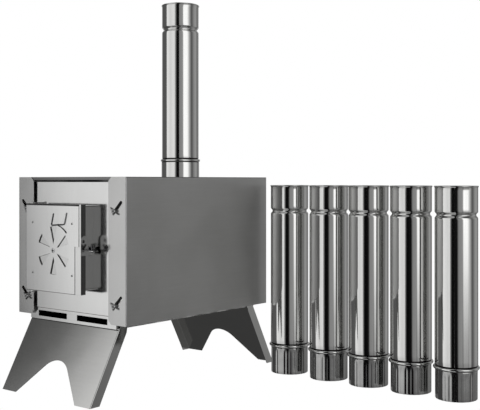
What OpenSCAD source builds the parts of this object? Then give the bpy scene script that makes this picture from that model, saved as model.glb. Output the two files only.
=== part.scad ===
// Knock-down tent wood stove with its flue sections.
// Z is up, the door faces -Y, and the origin is on the ground under the middle of the whole set.

/* [Body] */
// Width across the side panels
body_w = 318; // [300:1:360]
// Height of the side panels
body_h = 280; // [265:1:330]
// Length over the front and rear flanges
body_l = 434; // [410:1:520]
// Thickness of the body sheets
sheet_t = 1; // [0.8:0.1:1.4]
// Outer radius of the sheet bends
bend_r = 2; // [1.6:0.1:3]
// Width of the flanges on the side panels
flange_w = 48; // [42:1:54]
// Corner cut on the inner corners of the flanges
flange_cut = 8; // [5:0.5:12]

/* [End plates] */
// Gap between a flange and the end plate behind it
plate_gap = 4.2; // [3.6:0.1:5]
// Distance from the top of the body down to the end plates
plate_drop = 10; // [8:0.5:14]
// Height of the turned-down lips at the ends of the top panel
top_lip_h = 6; // [4:0.5:7]
// Height of the turned-down lips at the sides of the top panel
top_side_lip_h = 12; // [8:1:16]

/* [Corner fasteners] */
// Diameter of the studs
stud_d = 5; // [3:0.5:5]
// Distance of the studs from the outside of the side panels
stud_inset = 30; // [28:0.5:33]
// Height of the lower studs above the bottom of the body
stud_low = 36; // [32:1:44]
// Distance of the upper studs below the top of the body
stud_high = 65; // [60:1:75]
// Width of the slanted slots
slot_w = 7.4; // [5.5:0.1:8]
// Sideways run of the slanted slots
slot_run = 16; // [12:0.5:18]
// Reach of the studs in front of the flange
stud_reach = 9.5; // [9.5:0.5:14]

/* [Tray and grate] */
// Distance of the ash tray from the outside of the body
tray_inset = 32.5; // [31:0.5:38]
// Drop of the ash tray below the body
tray_drop = 9; // [7:0.5:12]
// Height of the grate above the bottom of the body
grate_rise = 13.5; // [13.5:0.5:18]
// Length of each air slot in the front of the tray
air_slot_l = 87; // [70:1:95]
// Height of each air slot
air_slot_h = 11.5; // [8:0.5:12]
// Width of the bridge between the air slots
air_bridge = 30; // [20:1:40]
// Length of the grate slots
grate_slot_l = 62; // [50:1:66]
// Width of the grate slots
grate_slot_w = 6; // [4:0.5:8]

/* [Door] */
// Width of the door lid
door_w = 163; // [150:1:170]
// Height of the door lid
door_h = 173; // [160:1:180]
// Distance from the front plate to the face of the door
door_depth = 34.4; // [32:0.1:38]
// Shift of the door to the left of the middle
door_shift = 16; // [12:0.5:17]
// Distance from the top of the body to the top of the door
door_top = 53; // [46:1:58]
// Depth of the lid's turned-back rim
lid_rim = 12; // [9:0.5:13]
// Gap between the lid's rim and the door frame at the sides
lid_gap = 1.2; // [1.2:0.1:2]
// Drop of the lid's rim below the bottom of the door frame
lid_overhang = 7.5; // [5:0.5:9]
// Diameter of the hinge pin
hinge_pin_d = 3.2; // [2.6:0.1:3.6]
// Wall of the hinge knuckles
knuckle_wall = 1; // [0.8:0.1:1.2]

/* [Air damper] */
// Number of air windows
window_count = 6;
// Distance of the points of the windows from the middle
window_in = 12; // [10:0.5:16]
// Distance of the outer edge of the windows from the middle
window_out = 47; // [40:0.5:48]
// Angle that each window spans
window_angle = 24; // [18:1:25]
// Radius of the damper disc
disc_r = 57; // [57:0.5:62]
// Radius of the arc slot for the damper handle
arc_r = 52.6; // [52:0.1:53]
// Diameter of the damper handle's wire
handle_d = 3; // [2:0.1:3.2]
// Distance that the damper handle stands out of the door
handle_out = 18; // [12:0.5:20]
// Length of the damper handle's upright part
handle_up = 24; // [18:0.5:28]
// Angle of the closed damper handle, from the right, seen from the front
handle_angle = 74; // [70:1:80]

/* [Door latch] */
// Distance of the latch bolt from the right side of the door
latch_reach = 17.1; // [16:0.1:18]
// Diameter of the latch bolt
latch_bolt_d = 4; // [3:0.5:4.5]
// Turn of the resting latch lever towards the door
lever_turn = 20; // [16:1:22]
// Width of the latch lever
lever_w = 5; // [4.6:0.1:6]
// Thickness of the latch bracket and lever
latch_t = 1.2; // [1:0.1:1.5]

/* [Legs] */
// Height of the body above the ground
leg_h = 145; // [130:1:155]
// Lean of the legs from upright
leg_splay = 28.5; // [24:0.5:30]
// Thickness of the leg sheets
leg_t = 1.2; // [1:0.1:1.6]
// Depth of the legs' side flanges
leg_flange = 21; // [17:0.5:21]
// Gap between the tray and a leg's side flanges
leg_gap = 2.3; // [1.5:0.1:3]
// Width of the arch between the feet
arch_w = 174; // [150:1:190]
// Height of the arch, along the leg
arch_rise = 76; // [65:1:80]
// Radius of the top of the arch
arch_r = 44; // [36:1:50]

/* [Flue] */
// Outer diameter of the flue sections
flue_d = 82; // [78:1:90]
// Wall of the flue sections
flue_t = 0.6; // [0.5:0.1:1]
// Length of a flue section
flue_l = 408; // [360:1:460]
// Length of the pleated end, up to the middle of the bead
spigot_l = 60; // [52:1:70]
// Radius of the rolled bead
bead_r = 3.2; // [2.6:0.1:3.6]
// Distance from the rim down to the groove
socket_l = 56; // [50:1:64]
// Depth of the groove
groove_in = 3.6; // [2.5:0.1:4]
// Number of pleats
pleat_count = 24; // [20:2:30]
// Depth of the pleats
pleat_in = 1; // [0.6:0.1:1.4]
// Distance of the flue from the rear of the body
flue_from_rear = 111; // [95:1:130]
// Height of the bead above the body
bead_rise = 38; // [34:1:44]

/* [Loose sections] */
// Number of loose flue sections
loose_count = 5;
// Distance of the first loose section from the side of the stove
loose_first = 61; // [58:1:80]
// Distance from the first to the second loose section
loose_step_first = 102.5; // [98:0.5:115]
// Distance between the other loose sections
loose_step = 97.2; // [96:0.2:110]
// Distance of the row of loose sections behind the front of the stove
loose_y = 437; // [380:1:500]

/* [Hidden] */
$fn = 96;

// Overrun of a cut past the face it opens, gap of a loose fit, and gap of a running fit
over = 1;
loose_fit = 0.3;
run_fit = 0.06;

// Box of the whole set, which the origin is the middle of
half_w = body_w / 2;
body_top = leg_h + body_h;
last_loose_x = half_w + loose_first + loose_step_first + (loose_count - 2) * loose_step;
set_mid_x = (last_loose_x + flue_d / 2 + bead_r - half_w) / 2;
set_mid_y = body_l / 2;

// Places of the end plates, in front and, mirrored, at the rear
plate_y = sheet_t + plate_gap;
plate_half_w = half_w - sheet_t - loose_fit;
plate_low = leg_h + grate_rise + sheet_t + loose_fit;
plate_high = body_top - plate_drop;
grate_z = leg_h + grate_rise;
floor_y = plate_y + sheet_t + loose_fit;

// Fasteners
stud_r = stud_d / 2;
stud_rim = 1.6;
stud_head_r = stud_r + stud_rim;
stud_head_h = 1.4;
nut_wall = 1.8;
nut_r = stud_r + nut_wall;
nut_extra = 0.6;
nut_h = stud_d + nut_extra;
ear_t = 1.6;
ear_reach = 8.4;
ear_high = 9.5;
ear_tip_r = 2.3;
nut_turn = 116;

// Rails and tray
rail_w = 15;
rail_h = 10;
tray_half_w = half_w - tray_inset;
tray_y = 6;
tray_lip_y = 10.1;
tray_lip = 12.5;
tray_low = leg_h - tray_drop;
air_slot_rise = 6;
air_slot_low = tray_low + air_slot_rise;
rivet_r = 1.6;
rivet_head_r = 3.2;
rivet_head_h = 0.9;
tray_rivet_rows = 4;
tray_rivet_end = 60;

// Grate pattern
grate_columns = 12;
grate_rows = 5;
grate_margin = 16;

// Door lid and frame
door_x0 = -door_shift - door_w / 2;
door_x1 = -door_shift + door_w / 2;
door_z1 = body_top - door_top;
door_z0 = door_z1 - door_h;
door_mid_z = (door_z0 + door_z1) / 2;
face_y = plate_y - door_depth;
lid_y = face_y + sheet_t;
lid_in_y = lid_y + sheet_t;
lid_rear_y = lid_y + lid_rim;
frame_gap = 0.8;
frame_front_y = lid_in_y + frame_gap;
frame_x0 = door_x0 + sheet_t + lid_gap;
frame_x1 = door_x1 - sheet_t - lid_gap;
frame_z0 = door_z0 + lid_overhang;
frame_z1 = door_z1 - sheet_t - frame_gap;
frame_corner_r = 4;
face_inset_high = 5.5;
face_inset_low = 17;
face_step = 81;
dimple_x = 59;
dimple_z = 50;
dimple_r = 2.2;
dimple_deep = 0.4;

// Hinge
pin_r = hinge_pin_d / 2;
knuckle_r = pin_r + knuckle_wall;
knuckle_sink = 0.2;
hinge_x = door_x0 - knuckle_r + knuckle_sink;
hinge_y = plate_y - door_depth / 2;
knuckle_l = 21;
knuckle_gap = 0.5;
hinge_over_top = 1.8;
hinge_under = 5.5;
hinge_z0 = door_z0 - hinge_under;
hinge_z1 = door_z1 + hinge_over_top;
leaf_t = 1;

// Damper
damper_right = 2;
damper_down = 4.5;
damper_x = damper_right - door_shift;
damper_z = door_mid_z - damper_down;
handle_r = handle_d / 2;
damper_swing = 30;
window_pitch = 360 / window_count;
disc_y = lid_in_y + loose_fit;
damper_rivet_r = 3;
damper_rivet_head_r = 4.8;
damper_rivet_hollow_r = 1.8;
handle_play = 1;
arc_slot_w = handle_d + handle_play;
handle_bend_r = handle_d;

// Latch
bolt_r = latch_bolt_d / 2;
bolt_x = door_x1 + latch_reach;
bolt_y = hinge_y;
latch_down = 1.5;
shelf_z = door_mid_z - latch_down;
tab_y0 = face_y;
tab_w = 19;
tab_low = 10;
tab_high = 28;
tab_hole_r = 2;
tab_rivet_at = [6.6, 17.5];
tab_hole_at = [8.3, 2];
tab_holes = [for (at = [tab_rivet_at, tab_hole_at]) [tab_y0 + at[0], shelf_z + at[1]]];
web_w = 12;
web_h = 9;
shelf_half = 6.5;
lever_z = shelf_z + loose_fit;
lever_front = 12.6;
lever_back = 20.5;
lever_ring_r = 4;
lever_ring_d = 2;
latch_nut_z = lever_z + latch_t + loose_fit;
keyhole_low_w = 16;
keyhole_high_w = 10.5;
keyhole_h = 12;
keyhole_reach = 16.5;
keyhole_x = bolt_x - tan(lever_turn) * keyhole_reach;
keyhole_down = 5.2;
keyhole_z = shelf_z - keyhole_down;

// Legs
pivot_r = 2.5;
pivot_below = 2;
pivot_y = 24;
pivot_z = leg_h - pivot_below;
pivot_head_r = 4.6;
pivot_head_h = 1.3;
fold_gap = 0.5;
leg_half_w = tray_half_w + leg_gap + leg_t;
leg_in = tray_drop - pivot_below + fold_gap;
leg_out = leg_in + leg_t;
leg_top = (leg_in + leg_out * sin(leg_splay)) / cos(leg_splay);
leg_foot = (pivot_z + leg_in * sin(leg_splay)) / cos(leg_splay);
leg_extra = leg_flange;

// Flue
flue_r = flue_d / 2;
flue_y = body_l - flue_from_rear;
flue_z = body_top + bead_rise - spigot_l;
spigot_r = flue_r - flue_t - loose_fit;
collar_play = 0.2;
collar_in_r = flue_r + collar_play;
collar_t = 1;
collar_foot_w = 11;
collar_foot_r = collar_in_r + collar_t + collar_foot_w;
collar_top = body_top + bead_rise - bead_r - loose_fit;
groove_half = 5.5;
rim_h = 2.2;
rim_out = 1.4;
ring_h = 1;
ring_skin = 0.2;

function arc(middle, r, a0, a1, steps) =
    [for (i = [0 : steps]) let (a = a0 + (a1 - a0) * i / steps) middle + r * [cos(a), sin(a)]];

// Moves a piece from the stove's own place, front at y 0, into the frame of the whole set
module in_set() {
    translate([-set_mid_x, -set_mid_y, 0]) children();
}

// Stands a flat outline up to face the front, from y to y + t
module facing(y, t) {
    translate([0, y + t, 0]) rotate([90, 0, 0]) linear_extrude(t) children();
}

// Stands a flat outline up to face the side, from x to x + t; the outline is drawn in y and z
module sideways(x, t) {
    translate([x, 0, 0]) rotate([90, 0, 90]) linear_extrude(t) children();
}

// Turns a piece made for the front into the one at the rear
module at_rear() {
    translate([0, body_l, 0]) mirror([0, 1, 0]) children();
}

module rounded_box_outline(x0, z0, x1, z1, r) {
    polygon(concat(
        arc([x1 - r, z1 - r], r, 0, 90, 6), arc([x0 + r, z1 - r], r, 90, 180, 6),
        arc([x0 + r, z0 + r], r, 180, 270, 6), arc([x1 - r, z0 + r], r, 270, 360, 6)));
}

// Plan of a side panel on the right, with its two flanges
module side_panel_plan() {
    in_r = bend_r - sheet_t;
    polygon(concat(
        [[half_w - flange_w, 0]],
        arc([half_w - bend_r, bend_r], bend_r, -90, 0, 5),
        arc([half_w - bend_r, body_l - bend_r], bend_r, 0, 90, 5),
        [[half_w - flange_w, body_l], [half_w - flange_w, body_l - sheet_t]],
        arc([half_w - bend_r, body_l - bend_r], in_r, 90, 0, 5),
        arc([half_w - bend_r, bend_r], in_r, 0, -90, 5),
        [[half_w - flange_w, sheet_t]]));
}

// Slanted slot that drops onto a stud at its lower, inner end
module stud_slot(z) {
    x = half_w - stud_inset;
    for (at = [0, slot_run])
        translate([x + at, z + at]) circle(d = slot_w);
    half = slot_w / 2 * sqrt(0.5);
    polygon([[x - half, z + half], [x + half, z - half],
        [x + slot_run + half, z + slot_run - half], [x + slot_run - half, z + slot_run + half]]);
}

module flange_cuts() {
    for (z = [leg_h + stud_low, body_top - stud_high]) stud_slot(z);
    x = half_w - flange_w;
    polygon([[x - over, body_top + over], [x - over, body_top - flange_cut],
        [x, body_top - flange_cut], [x + flange_cut, body_top], [x + flange_cut, body_top + over]]);
    polygon([[x - over, leg_h - over], [x - over, leg_h + flange_cut],
        [x, leg_h + flange_cut], [x + flange_cut, leg_h], [x + flange_cut, leg_h - over]]);
}

module side_panel() {
    difference() {
        translate([0, 0, leg_h]) linear_extrude(body_h) side_panel_plan();
        facing(-over, sheet_t + 2 * over) flange_cuts();
        facing(body_l - sheet_t - over, sheet_t + 2 * over) flange_cuts();
    }
}

module side_panel_right() {
    color("silver") in_set() side_panel();
}

module side_panel_left() {
    color("silver") in_set() mirror([1, 0, 0]) side_panel();
}

module top_panel() {
    y0 = sheet_t + loose_fit;
    depth = body_l - 2 * y0;
    outer_w = body_w - 2 * sheet_t;
    inner_w = outer_w - 2 * sheet_t;
    color("lightgray") in_set() difference() {
        translate([-outer_w / 2, y0, body_top - top_side_lip_h])
            cube([outer_w, depth, top_side_lip_h]);
        translate([-inner_w / 2, y0 + sheet_t, body_top - top_side_lip_h - over])
            cube([inner_w, depth - 2 * sheet_t, top_side_lip_h - sheet_t + over]);
        for (y = [y0 - over, y0 + depth - sheet_t - over])
            translate([-half_w, y, body_top - top_side_lip_h - over])
                cube([body_w, sheet_t + 2 * over, top_side_lip_h - top_lip_h + over]);
        translate([0, flue_y, body_top - top_side_lip_h])
            cylinder(r = collar_in_r + collar_t + run_fit, h = top_side_lip_h + over);
    }
}

module end_plate_outline() {
    difference() {
        rounded_box_outline(-plate_half_w, plate_low, plate_half_w, plate_high, bend_r);
        for (side = [-1, 1], z = [leg_h + stud_low, body_top - stud_high])
            translate([side * (half_w - stud_inset), z]) circle(r = stud_r + run_fit);
    }
}

module keyhole_outline() {
    polygon([[keyhole_x - keyhole_low_w / 2, keyhole_z], [keyhole_x + keyhole_low_w / 2, keyhole_z],
        [keyhole_x + keyhole_high_w / 2, keyhole_z + keyhole_h],
        [keyhole_x - keyhole_high_w / 2, keyhole_z + keyhole_h]]);
}

module front_plate() {
    color("gainsboro") in_set() facing(plate_y, sheet_t) difference() {
        end_plate_outline();
        rounded_box_outline(frame_x0 + sheet_t, frame_z0 + sheet_t,
            frame_x1 - sheet_t, frame_z1 - sheet_t, frame_corner_r - sheet_t);
        keyhole_outline();
    }
}

module rear_plate() {
    color("gainsboro") in_set() at_rear() facing(plate_y, sheet_t) end_plate_outline();
}

// Angle rails on the side panels, which carry the grate
module floor_rails() {
    outer = half_w - sheet_t;
    color("darkgray") in_set() for (side = [0, 1]) mirror([side, 0, 0])
        at_length(floor_y) polygon([[outer, grate_z], [outer - rail_w, grate_z],
            [outer - rail_w, grate_z - sheet_t], [outer - sheet_t, grate_z - sheet_t],
            [outer - sheet_t, grate_z - rail_h], [outer, grate_z - rail_h]]);
}

// Runs a cross-section, drawn in x and z, from y to the same distance from the rear
module at_length(y) {
    facing(y, body_l - 2 * y) children();
}

module grate_slots() {
    span_x = 2 * (tray_half_w - sheet_t - grate_margin);
    span_y = body_l - 2 * (tray_y + sheet_t + grate_margin);
    pitch_x = span_x / (grate_columns - 1);
    pitch_y = span_y / grate_rows;
    straight = grate_slot_l - grate_slot_w;
    for (column = [0 : grate_columns - 1], row = [0 : grate_rows - 1])
        translate([column * pitch_x - span_x / 2, body_l / 2 + (row + 0.5) * pitch_y - span_y / 2]) {
            square([grate_slot_w, straight], center = true);
            for (end = [-1, 1]) translate([0, end * straight / 2]) circle(d = grate_slot_w, $fn = 24);
        }
}

function tray_rivet_places() = [for (side = [-1, 1], row = [0 : tray_rivet_rows - 1])
    [side * (tray_half_w + tray_lip / 2),
        tray_rivet_end + row * (body_l - 2 * tray_rivet_end) / (tray_rivet_rows - 1)]];

module grate() {
    color("dimgray") in_set() translate([0, 0, grate_z]) linear_extrude(sheet_t) difference() {
        translate([-plate_half_w, floor_y]) square([2 * plate_half_w, body_l - 2 * floor_y]);
        grate_slots();
        for (place = tray_rivet_places()) translate(place) circle(r = rivet_r + run_fit);
    }
}

module air_slots() {
    for (side = [0, 1]) mirror([side, 0])
        rounded_box_outline(air_bridge / 2, air_slot_low, air_bridge / 2 + air_slot_l,
            air_slot_low + air_slot_h, sheet_t);
}

module ash_tray() {
    w = 2 * tray_half_w;
    depth = body_l - 2 * tray_y;
    tall = grate_z - tray_low;
    color("gainsboro") in_set() difference() {
        union() {
            translate([-tray_half_w, tray_y, tray_low]) cube([w, depth, tall]);
            translate([-tray_half_w - tray_lip, tray_lip_y, grate_z - sheet_t])
                cube([w + 2 * tray_lip, body_l - 2 * tray_lip_y, sheet_t]);
        }
        translate([-tray_half_w + sheet_t, tray_y + sheet_t, tray_low + sheet_t])
            cube([w - 2 * sheet_t, depth - 2 * sheet_t, tall]);
        facing(tray_y - over, sheet_t + 2 * over) air_slots();
        for (y = [pivot_y, body_l - pivot_y])
            translate([-tray_half_w - over, y, pivot_z]) rotate([0, 90, 0])
                cylinder(r = pivot_r + run_fit, h = w + 2 * over);
        for (place = tray_rivet_places())
            translate([place[0], place[1], grate_z - sheet_t - over])
                cylinder(r = rivet_r + run_fit, h = sheet_t + 2 * over);
    }
}

// Rivets that hang the tray under the grate
module tray_rivets() {
    color("silver") in_set() for (place = tray_rivet_places()) translate(place) {
        translate([0, 0, grate_z - sheet_t]) cylinder(r = rivet_r, h = 2 * sheet_t, $fn = 32);
        for (z = [grate_z + sheet_t, grate_z - sheet_t - rivet_head_h])
            translate([0, 0, z]) cylinder(r = rivet_head_r, h = rivet_head_h, $fn = 32);
    }
}

module flue_collar() {
    foot_z = body_top - 2 * sheet_t;
    color("silver") in_set() translate([0, flue_y, 0]) rotate_extrude() polygon([
        [collar_in_r, foot_z], [collar_foot_r, foot_z], [collar_foot_r, foot_z + sheet_t],
        [collar_in_r + collar_t, foot_z + sheet_t], [collar_in_r + collar_t, collar_top],
        [collar_in_r, collar_top]]);
}

// Stud with a head behind the end plate and a spacer between plate and flange
module stud() {
    rotate([90, 0, 0]) {
        translate([0, 0, -plate_y - sheet_t]) cylinder(r = stud_r, h = plate_y + sheet_t + stud_reach);
        translate([0, 0, -plate_y - sheet_t - stud_head_h]) cylinder(r = stud_head_r, h = stud_head_h);
        translate([0, 0, -plate_y]) cylinder(r = stud_head_r, h = plate_gap);
    }
}

module at_studs() {
    for (side = [-1, 1], z = [leg_h + stud_low, body_top - stud_high])
        translate([side * (half_w - stud_inset), 0, z]) children();
}

module front_studs() {
    color("dimgray") in_set() at_studs() stud();
}

module rear_studs() {
    color("dimgray") in_set() at_rear() at_studs() stud();
}

// One ear of a wing nut, drawn with the nut's seat at height 0
module ear_outline() {
    tip = [ear_reach - ear_tip_r, ear_high - ear_tip_r];
    root = nut_r - nut_wall / 2;
    polygon(concat([[0, ear_t / 2], [root, ear_t / 2]], arc(tip, ear_tip_r, -40, 150, 8),
        [[root, nut_h - ear_t / 2], [0, nut_h - ear_t / 2]]));
}

// Wing nut along +Z, seat at 0, with a bore of the given radius
module wing_nut(bore_r) {
    difference() {
        union() {
            cylinder(r = nut_r, h = nut_h);
            for (turn = [0, 180]) rotate([90, 0, turn])
                translate([0, 0, -ear_t / 2]) linear_extrude(ear_t) ear_outline();
        }
        translate([0, 0, -over]) cylinder(r = bore_r, h = ear_high + 2 * over);
    }
}

module front_wing_nuts() {
    color("dimgray") in_set() at_studs() rotate([90, 0, 0]) rotate([0, 0, nut_turn])
        wing_nut(stud_r + run_fit);
}

module rear_wing_nuts() {
    color("dimgray") in_set() at_rear() at_studs() rotate([90, 0, 0]) rotate([0, 0, nut_turn])
        wing_nut(stud_r + run_fit);
}

// Frame that stands out of the front plate and that the door lid closes over
module door_frame() {
    color("darkgray") in_set() facing(frame_front_y, plate_y - frame_front_y) difference() {
        rounded_box_outline(frame_x0, frame_z0, frame_x1, frame_z1, frame_corner_r);
        rounded_box_outline(frame_x0 + sheet_t, frame_z0 + sheet_t,
            frame_x1 - sheet_t, frame_z1 - sheet_t, frame_corner_r - sheet_t);
    }
}

// Ranges of height of the knuckles: the fixed ones at the ends, the door's ones inside them
function fixed_knuckles() = [[hinge_z0, hinge_z0 + knuckle_l], [hinge_z1 - knuckle_l, hinge_z1]];
function door_knuckles() = [
    [hinge_z0 + knuckle_l + knuckle_gap, hinge_z0 + 2 * knuckle_l],
    [hinge_z1 - 2 * knuckle_l, hinge_z1 - knuckle_l - knuckle_gap]];

module knuckle_plan(bore_r) {
    difference() {
        union() {
            translate([hinge_x, hinge_y]) circle(r = knuckle_r);
            children();
        }
        translate([hinge_x, hinge_y]) circle(r = bore_r);
    }
}

module hinge_fixed_leaf() {
    strap_y = hinge_y + knuckle_r - leaf_t;
    color("gray") in_set() for (range = fixed_knuckles())
        translate([0, 0, range[0]]) linear_extrude(range[1] - range[0]) knuckle_plan(pin_r + run_fit)
            polygon([[hinge_x, strap_y], [frame_x0, strap_y], [frame_x0, plate_y],
                [frame_x0 - leaf_t, plate_y], [frame_x0 - leaf_t, strap_y + leaf_t],
                [hinge_x, strap_y + leaf_t]]);
}

module hinge_door_leaf() {
    color("gray") in_set() for (range = door_knuckles())
        translate([0, 0, range[0]]) linear_extrude(range[1] - range[0]) knuckle_plan(pin_r + run_fit)
            polygon([[door_x0, hinge_y], [door_x0, lid_y], [door_x0 - leaf_t, lid_y],
                [door_x0 - leaf_t, hinge_y]]);
}

module hinge_pin() {
    color("dimgray") in_set() translate([hinge_x, hinge_y, hinge_z0 - leaf_t]) {
        cylinder(r = pin_r, h = hinge_z1 - hinge_z0 + 2 * leaf_t);
        cylinder(r = knuckle_r, h = leaf_t);
    }
}

// The air windows: wedges with their points near the middle, seen from the front
module damper_windows(turn) {
    for (i = [0 : window_count - 1]) rotate(turn + i * window_pitch)
        polygon(concat([[window_in, 0]], arc([0, 0], window_out, -window_angle / 2, window_angle / 2, 6)));
}

module arc_slot_outline() {
    half = arc_slot_w / 2;
    a0 = handle_angle - damper_swing;
    polygon(concat(arc([0, 0], arc_r + half, a0, handle_angle, 10),
        arc(arc_r * [cos(handle_angle), sin(handle_angle)], half, handle_angle, handle_angle + 180, 6),
        arc([0, 0], arc_r - half, handle_angle, a0, 10),
        arc(arc_r * [cos(a0), sin(a0)], half, a0 + 180, a0 + 360, 6)));
}

// Everything that is cut through both sheets of the door front
module door_cuts() {
    translate([damper_x, damper_z]) {
        damper_windows(window_pitch / 2);
        arc_slot_outline();
        circle(r = damper_rivet_r + run_fit);
    }
}

module door_lid() {
    color("gainsboro") in_set() difference() {
        facing(lid_y, lid_rim) rounded_box_outline(door_x0, door_z0, door_x1, door_z1, sheet_t);
        facing(lid_in_y, lid_rim) rounded_box_outline(door_x0 + sheet_t, door_z0 + sheet_t,
            door_x1 - sheet_t, door_z1 - sheet_t, sheet_t / 2);
        facing(lid_y - over, sheet_t + 2 * over) door_cuts();
        for (place = tab_holes)
            translate([door_x1 - sheet_t - over, place[0], place[1]]) rotate([0, 90, 0])
                cylinder(r = tab_hole_r, h = sheet_t + 2 * over);
    }
}

module door_face_plate() {
    step_z = door_z1 - face_step;
    middle_x = -door_shift;
    color("whitesmoke") in_set() difference() {
        facing(face_y, sheet_t) difference() {
            polygon([[door_x0, door_z0], [door_x1 - face_inset_low, door_z0],
                [door_x1 - face_inset_low, step_z], [door_x1 - face_inset_high, step_z],
                [door_x1 - face_inset_high, door_z1], [door_x0, door_z1]]);
            door_cuts();
        }
        for (x = [-dimple_x, dimple_x], z = [-dimple_z, dimple_z])
            translate([middle_x + x, face_y + dimple_deep, door_mid_z + z]) rotate([90, 0, 0])
                cylinder(r = dimple_r, h = over + dimple_deep, $fn = 32);
    }
}

module damper_disc() {
    color("silver") in_set() translate([damper_x, 0, damper_z]) facing(disc_y, sheet_t) difference() {
        circle(r = disc_r);
        damper_windows(0);
        circle(r = damper_rivet_r + run_fit);
    }
}

// Wire that starts on the disc, comes out through the arc slot and turns up along the door
module damper_handle() {
    out_l = disc_y - face_y + handle_out - handle_r - handle_bend_r;
    color("dimgray") in_set()
        translate([damper_x + arc_r * cos(handle_angle), disc_y, damper_z + arc_r * sin(handle_angle)])
            rotate([0, 90 - handle_angle, 0]) {
                rotate([90, 0, 0]) cylinder(r = handle_r, h = out_l, $fn = 32);
                translate([0, -out_l, handle_bend_r]) rotate([0, 90, 0]) rotate([0, 0, -90])
                    rotate_extrude(angle = 90) translate([handle_bend_r, 0]) circle(r = handle_r, $fn = 32);
                translate([0, -out_l - handle_bend_r, handle_bend_r])
                    cylinder(r = handle_r, h = handle_up - handle_bend_r, $fn = 32);
            }
}

module damper_rivet() {
    stack = disc_y + sheet_t - face_y;
    color("dimgray") in_set() translate([damper_x, face_y - rivet_head_h, damper_z]) rotate([-90, 0, 0])
        difference() {
            union() {
                cylinder(r = damper_rivet_head_r, h = rivet_head_h);
                cylinder(r = damper_rivet_r, h = rivet_head_h + stack + loose_fit);
                translate([0, 0, rivet_head_h + stack + loose_fit])
                    cylinder(r = damper_rivet_head_r, h = rivet_head_h);
            }
            translate([0, 0, -over]) cylinder(r = damper_rivet_hollow_r, h = over + 2 * rivet_head_h);
        }
}

// Tab on the right rim of the lid, a web that faces the front, and a shelf for the bolt
module latch_bracket() {
    tab_top = shelf_z + tab_high;
    web_y = tab_y0 + tab_w - latch_t;
    color("gray") in_set() {
        difference() {
            sideways(door_x1, latch_t) {
                translate([tab_y0, shelf_z - tab_low]) square([tab_w, tab_high + tab_low - tab_w / 2]);
                translate([tab_y0 + tab_w / 2, tab_top - tab_w / 2]) circle(d = tab_w);
            }
            for (place = tab_holes)
                translate([door_x1 - over, place[0], place[1]]) rotate([0, 90, 0])
                    cylinder(r = tab_hole_r, h = latch_t + 2 * over);
        }
        translate([door_x1, web_y, shelf_z - tab_low]) cube([web_w, latch_t, web_h]);
        difference() {
            translate([door_x1, bolt_y - shelf_half, shelf_z - latch_t])
                cube([latch_reach + shelf_half, 2 * shelf_half, latch_t]);
            translate([bolt_x, bolt_y, shelf_z - latch_t - over])
                cylinder(r = bolt_r + run_fit, h = latch_t + 2 * over);
        }
    }
}

module latch_rivet() {
    place = tab_holes[0];
    color("dimgray") in_set() translate([door_x1 - sheet_t, place[0], place[1]]) rotate([0, 90, 0]) {
        cylinder(r = tab_hole_r, h = sheet_t + latch_t, $fn = 32);
        translate([0, 0, sheet_t + latch_t]) cylinder(r1 = rivet_head_r, r2 = tab_hole_r, h = rivet_head_h);
    }
}

module latch_bolt() {
    head_h = 2.6;
    color("dimgray") in_set() translate([bolt_x, bolt_y, shelf_z - latch_t]) {
        translate([0, 0, -head_h]) cylinder(r = nut_r, h = head_h, $fn = 6);
        cylinder(r = bolt_r, h = 2 * latch_t + nut_h + 2 * loose_fit + head_h);
    }
}

// Lever on the bolt: a ring for the finger in front and a nose in the keyhole of the front plate
module latch_lever() {
    color("dimgray") in_set() translate([bolt_x, bolt_y, lever_z]) rotate([0, 0, lever_turn]) {
        difference() {
            union() {
                translate([-lever_w / 2, -lever_front, 0]) cube([lever_w, lever_front + lever_back, latch_t]);
                cylinder(d = lever_w + latch_bolt_d / 2, h = latch_t);
            }
            translate([0, 0, -over]) cylinder(r = bolt_r + run_fit, h = latch_t + 2 * over);
        }
        translate([0, -lever_front, lever_ring_r + latch_t / 2]) rotate([90, 0, 0])
            rotate_extrude() translate([lever_ring_r, 0]) circle(d = lever_ring_d, $fn = 24);
    }
}

module latch_wing_nut() {
    color("dimgray") in_set() translate([bolt_x, bolt_y, latch_nut_z]) rotate([0, 0, 114])
        wing_nut(bolt_r + run_fit);
}

// Opening between the feet; height 0 is the ground
module arch_outline() {
    half = arch_w / 2;
    low = arch_rise - arch_r;
    a = atan2(-low, half) + acos(arch_r / norm([half, low]));
    touch = [arch_r * cos(a), low + arch_r * sin(a)];
    polygon(concat([[-half, -leg_extra], [half, -leg_extra], [half, 0]],
        arc([0, low], arch_r, a, 180 - a, 24), [[-half, 0]]));
}

// Plan of a leg: a plate with a flange bent back at each side
module leg_plan() {
    in_r = bend_r - leg_t / 2;
    y0 = -leg_out;
    polygon(concat(
        [[-leg_half_w, y0 + leg_flange]],
        arc([-leg_half_w + bend_r, y0 + bend_r], bend_r, 180, 270, 5),
        arc([leg_half_w - bend_r, y0 + bend_r], bend_r, 270, 360, 5),
        [[leg_half_w, y0 + leg_flange], [leg_half_w - leg_t, y0 + leg_flange]],
        arc([leg_half_w - leg_t - in_r / 2, y0 + leg_t + in_r / 2], in_r / 2, 0, -90, 3),
        arc([-leg_half_w + leg_t + in_r / 2, y0 + leg_t + in_r / 2], in_r / 2, 270, 180, 3),
        [[-leg_half_w + leg_t, y0 + leg_flange]]));
}

// Side view of a flange, with the pivot at 0 and the round ear about it
module leg_flange_outline() {
    back = leg_flange - leg_out;
    polygon(concat(arc([0, 0], leg_out, 0, 180, 12), [[-leg_out, -leg_top], [-leg_out - over, -leg_top],
        [-leg_out - over, -leg_foot - leg_extra], [back + over, -leg_foot - leg_extra],
        [back + over, -leg_top]]));
}

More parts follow.
